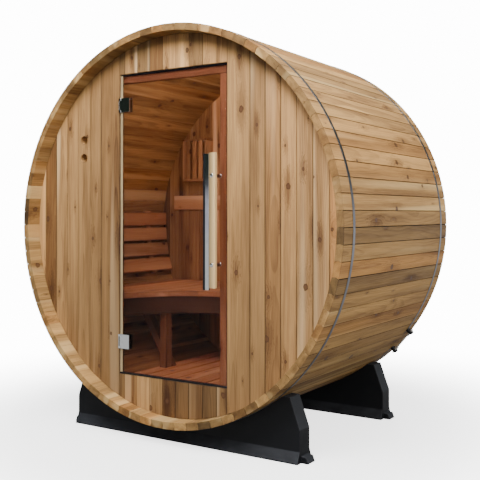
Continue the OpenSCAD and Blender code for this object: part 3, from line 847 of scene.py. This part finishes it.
# Each tensioner: how far below the barrel's middle it sits, and the gap it bridges
TENSION_A, LUG_A = math.radians(40.75), math.radians(8.17)
LUG_H, LUG_W, LUG_T, LUG_CORNER, ROD_R = 32 * MM, 36 * MM, 14 * MM, 9 * MM, 4 * MM
ROD_UP = 0.6                                  # the rod's place on a lug, as a share of its height
NUT_R, NUT_END_R, WASHER_R = 6.9 * MM, 6.0 * MM, 7.4 * MM
OUTER_NUT, INNER_NUT, WASHER_T, NUT_EASE = 7 * MM, 20 * MM, 1.4 * MM, 0.5 * MM
THREAD_PITCH, THREAD_DEPTH, ROD_SPARE = 1.25 * MM, 0.55 * MM, 42 * MM
CAST_SLOT = 1                                 # the lugs' place in band_gear's materials
band_places = ((1, band_hi.y - BAND_W / 2), (-1, band_lo.y + BAND_W / 2))


def round_barrel(side, a):
    """Outward from the barrel's axis, a up from level, on the right (1) or left (-1)."""
    return Vector((side * math.cos(a), 0, math.sin(a)))


straps = bmesh.new()
outline = rounded([(-BAND_W / 2, -BAND_T / 2), (BAND_W / 2, -BAND_T / 2),
                   (BAND_W / 2, BAND_T / 2), (-BAND_W / 2, BAND_T / 2)], [0.6 * MM] * 4, 2)
for side, y in band_places:
    rings = []
    for k in range(BAND_STEPS + 1):
        a = LUG_A / 2 - TENSION_A + (2 * math.pi - LUG_A) * k / BAND_STEPS
        rings.append([round_barrel(side, a) * (BAND_R - BAND_T / 2 + v) + Y * (y + u)
                      + Z * AXIS_Z for u, v in outline])
    loft(straps, rings)
piece(straps, "straps", ["bands"], "cabin", "band")

gear = bmesh.new()


def hex_nut(at, axis, length):
    turned(gear, at, axis, [(0, NUT_END_R, False), (NUT_EASE, NUT_R, True),
                            (length - NUT_EASE, NUT_R, True), (length, NUT_END_R, False)])


for side, y in band_places:
    run = Vector((side * math.sin(TENSION_A), 0, math.cos(TENSION_A)))
    centre = Vector((0, y, AXIS_Z))
    rod_at = centre + round_barrel(side, -TENSION_A) * (BAND_R * math.cos(LUG_A / 2)
                                                        + LUG_H * ROD_UP)
    half = BAND_R * math.sin(LUG_A / 2)
    for s in (-1, 1):
        a = s * LUG_A / 2 - TENSION_A
        radial, along = round_barrel(side, a), Vector((-side * math.sin(a), 0, math.cos(a)))
        plate = rounded([(-LUG_W / 2, 0), (LUG_W / 2, 0), (LUG_W / 2, LUG_H),
                         (-LUG_W / 2, LUG_H)], [0, 0, LUG_CORNER, LUG_CORNER], 5)
        first = len(gear.faces)
        prism(gear, plate, -LUG_T / 2, LUG_T / 2,
              lambda u, v, w: centre + radial * (BAND_R + v) + Y * u + along * w, 1.5 * MM)
        gear.faces.ensure_lookup_table()
        for face in gear.faces[first:]:
            face.material_index = CAST_SLOT
        hex_nut(rod_at + run * s * (half + LUG_T / 2 + 1 * MM), run * s, OUTER_NUT)
        hex_nut(rod_at + run * s * (half - LUG_T / 2 + 2 * MM), -run * s, INNER_NUT)
        for washer_at in (half + LUG_T / 2 - 0.5 * MM, half - LUG_T / 2 - 0.3 * MM):
            turned(gear, rod_at + run * s * washer_at, run * s,
                   [(0, WASHER_R, False), (WASHER_T, WASHER_R, False)])
    length = 2 * half + ROD_SPARE
    thread = [(k * THREAD_PITCH / 2 - length / 2, ROD_R - (THREAD_DEPTH if k % 2 else 0), False)
              for k in range(int(length / THREAD_PITCH) * 2 + 1)]
    turned(gear, rod_at, run, thread, n=14)
piece(gear, "band_gear", ["tensioners"], "cabin", "tensioner cast")


# ---------------------------------------------------------------- door seal, black, which also stands as painted shade in the gap round the glass

stop_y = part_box("door_stop_side")[0].y
head_lo, head_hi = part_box("door_stop_head")
sill_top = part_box("front_sill")[1].z
BULB = 4.3 * MM                  # how far the seal stands out from the door stops
SIDE_LAP, HEAD_LAP = 5 * MM, 3 * MM         # how far it covers the glass's edges
SEAL_FOOT = 9 * MM               # the upright seals start this far above the sill
BEHIND = 14 * MM                 # the sill and hinge seals end this far behind the glass
STRIP_CORNER, STRIP_END_EASE = 1.2 * MM, 0.4 * MM


def strip(bm, x0, x1, y0, y1, z0, z1, along):
    """A thin profile with rounded edges, drawn along Z or X."""
    if along is Z:
        outline, start, end = [(x0, y0), (x1, y0), (x1, y1), (x0, y1)], z0, z1
    else:
        outline, start, end = [(y0, z0), (y1, z0), (y1, z1), (y0, z1)], x0, x1
    prism(bm, rounded(outline, [STRIP_CORNER] * 4), start, end,
          lambda u, v, w: Vector((u, v, w) if along is Z else (w, u, v)), STRIP_END_EASE)


def two_hinges(node):
    """Heights of a hinge node: the lower one's foot and top, the upper one's foot and top."""
    heights = [v.co.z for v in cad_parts[node].data.vertices]
    half_way = (min(heights) + max(heights)) / 2
    return (min(heights), max(z for z in heights if z < half_way),
            min(z for z in heights if z > half_way), max(heights))


seal = bmesh.new()
strip(seal, pane_hi.x - SIDE_LAP, door_right, stop_y - BULB, stop_y, sill_top + SEAL_FOOT,
      head_hi.z, Z)
strip(seal, door_left, door_right, stop_y - BULB, stop_y, pane_hi.z - HEAD_LAP, head_hi.z, X)
strip(seal, door_left, door_right, pane_lo.y + 2 * MM, pane_hi.y + BEHIND, sill_top,
      pane_lo.z - 1.6 * MM, X)
low_foot, low_top, high_foot, high_top = two_hinges("hinge_brackets")
for z0, z1 in ((sill_top + SEAL_FOOT, low_foot), (low_top, high_foot), (high_top, head_lo.z)):
    strip(seal, door_left, door_left + 3.2 * MM, pane_lo.y + 3 * MM, pane_hi.y + BEHIND, z0, z1,
          Z)
piece(seal, "door_seal_and_gap_shade", [], "cabin", "rubber")

# A pale edge profile on the hinge side of the glass, broken by the hinges
PROFILE_W, PROFILE_OUT, HINGE_ROOM = 14 * MM, 1.6 * MM, 0.5 * MM
edge = bmesh.new()
low_foot, low_top, high_foot, high_top = two_hinges("hinge_clamps")
for z0, z1 in ((pane_lo.z + 1 * MM, low_foot - HINGE_ROOM),
               (low_top + HINGE_ROOM, high_foot - HINGE_ROOM),
               (high_top + HINGE_ROOM, pane_hi.z - 1 * MM)):
    strip(edge, pane_lo.x - 1.2 * MM, pane_lo.x + PROFILE_W, pane_lo.y - PROFILE_OUT,
          pane_lo.y - 0.3 * MM, z0, z1, Z)
piece(edge, "glass_edge_profile", [], "door", "pale")


# ---------------------------------------------------------------- studio

BACKGROUND = 14.0                # the camera sees the world this bright
FLOOR_R, FLOOR_T, FLOOR_SIDES = 40, 0.02, 64
# The floor fades into the background between these distances from the middle
FADE_FROM, FADE_TO, NEAR_GLOW = 1.0, 2.8, 0.16
# The floor's glow for plain light rays, and what reflections see on top
BOUNCE_GLOW, MIRRORED_GLOW = 0.10, 0.62


def stage_floor():
    """A round floor: white to the camera, dim to the light that bounces off it."""
    bm = bmesh.new()
    turns = [2 * math.pi * k / FLOOR_SIDES for k in range(FLOOR_SIDES)]
    loft(bm, [[Vector((FLOOR_R * math.cos(a), FLOOR_R * math.sin(a), z)) for a in turns]
              for z in (-FLOOR_T, 0.0)])
    mesh = bpy.data.meshes.new("studio_floor")
    bm.to_mesh(mesh)
    bm.free()
    obj = bpy.data.objects.new("studio_floor", mesh)
    bpy.context.scene.collection.objects.link(obj)
    g = Graph("studio_floor", Roughness=0.9, Specular_IOR_Level=0.1)
    far = g.node("VectorMath", {0: place(g, 1.0, 1.0, 0.0)}, operation="LENGTH").outputs[1]
    rays = g.node("LightPath").outputs
    sight, gloss = rays["Is Camera Ray"], rays["Is Glossy Ray"]
    g.put(g.shader.inputs["Base Color"],
          g.mix(sight, colour(0.17, 0.165, 0.16), colour(0.92, 0.92, 0.92)))
    power = g.math("MULTIPLY_ADD", sight, BACKGROUND, BOUNCE_GLOW)
    power = g.math("MULTIPLY_ADD", gloss, MIRRORED_GLOW, power)
    glow = g.node("Emission", {"Color": colour(1.0, 1.0, 1.0), "Strength": power})
    g.show(g.node("MixShader", {0: g.ramp(far, FADE_FROM, FADE_TO, NEAR_GLOW, 1.0),
                                1: g.shader.outputs[0], 2: glow.outputs[0]}))
    mesh.materials.append(g.material)


stage_floor()

world = bpy.data.worlds.new("studio")
bpy.context.scene.world = world
world.use_nodes = True
tree = world.node_tree
rays = tree.nodes.new("ShaderNodeLightPath")
height = tree.nodes.new("ShaderNodeSeparateXYZ")
tree.links.new(tree.nodes.new("ShaderNodeTexCoord").outputs["Generated"], height.inputs[0])


def sky(strength, *stops):
    """A background whose colour depends on the height of the line of sight."""
    ramp = tree.nodes.new("ShaderNodeValToRGB")
    tree.links.new(height.outputs["Z"], ramp.inputs[0])
    elements = ramp.color_ramp.elements
    while len(elements) < len(stops):
        elements.new(0.5)
    for element, (position, *tint) in zip(elements, stops):
        element.position, element.color = position, colour(*tint)
    shader = tree.nodes.new("ShaderNodeBackground")
    tree.links.new(ramp.outputs[0], shader.inputs["Color"])
    shader.inputs["Strength"].default_value = strength
    return shader


def choose(ray, no, yes):
    """Shows one background to rays of a kind, and another to the rest."""
    mix = tree.nodes.new("ShaderNodeMixShader")
    for number, source in enumerate((rays.outputs[ray], no.outputs[0], yes.outputs[0])):
        tree.links.new(source, mix.inputs[number])
    return mix


# Each stop is (height, red, green, blue). Soft lights the scene, mirrored is what
# shows in glass and steel, and seen is the plain white behind the object
soft = sky(0.9, (0.12, 0.05, 0.055, 0.05), (0.55, 0.80, 0.84, 0.90))
mirrored = sky(0.9, (0.027, 0.66, 0.64, 0.74), (0.032, 0.020, 0.028, 0.021),
               (0.50, 0.030, 0.040, 0.032), (0.85, 0.60, 0.63, 0.66))
seen = sky(BACKGROUND, (0.0, 1.0, 1.0, 1.0), (1.0, 1.0, 1.0, 1.0))
surface = choose("Is Camera Ray", choose("Is Glossy Ray", soft, mirrored), seen)
tree.links.new(surface.outputs[0], tree.nodes["World Output"].inputs["Surface"])


def lamp(name, at, towards, size, power, tint=(1.0, 1.0, 1.0)):
    """An area lamp. Its size is in metres and its power in watts."""
    light = bpy.data.lights.new(name, "AREA")
    light.shape = "RECTANGLE"
    light.size, light.size_y = size
    light.energy = power
    light.color = tint
    obj = bpy.data.objects.new(name, light)
    obj.location = at
    obj.rotation_euler = (Vector(towards) - Vector(at)).to_track_quat("-Z", "Y").to_euler()
    bpy.context.scene.collection.objects.link(obj)
    return obj


middle = (0, 0, AXIS_Z)
lamp("key", (0.9, -2.9, 3.9), (0.1, -0.55, 1.3), (1.8, 1.8), 290, (1.0, 0.99, 0.97))
lamp("front", (2.4, -5.4, 2.7), middle, (3.5, 3.5), 70, (1.0, 0.98, 0.96))
lamp("overhead", (1.8, 0.2, 5.2), middle, (4.0, 4.0), 95)
lamp("fill", (5.2, -1.2, 3.4), middle, (2.6, 2.6), 200, (1.0, 0.97, 0.91))
back = lamp("back", (-3.4, 5.0, 3.2), middle, (3.0, 3.0), 230)
back.visible_glossy = False
panel = lamp("panel", (3.4, 4.8, 1.1), (0.95, -0.5, 1.0), (3.0, 2.2), 18, (0.90, 0.95, 1.0))
panel.visible_camera = panel.visible_diffuse = panel.visible_transmission = False
glow = lamp("cabin_glow", (-0.10, -0.40, 1.45), (-0.10, 0.50, 1.40), (0.4, 0.6), 8.5,
            (1.0, 0.95, 0.88))
glow.visible_camera = glow.visible_glossy = False

# The camera, fitted to the bands, the doorway and the cradles in the photo
camera_data = bpy.data.cameras.new("camera")
camera_data.sensor_width = 36.0
camera_data.lens = 59.37
camera_data.shift_x = -0.0729
camera_data.shift_y = -0.0677
camera = bpy.data.objects.new("camera", camera_data)
camera.location = (2.386, -3.478, 1.091)
camera.rotation_euler = (math.radians(90.43), 0.0, math.radians(31.66))
bpy.context.scene.collection.objects.link(camera)
bpy.context.scene.camera = camera
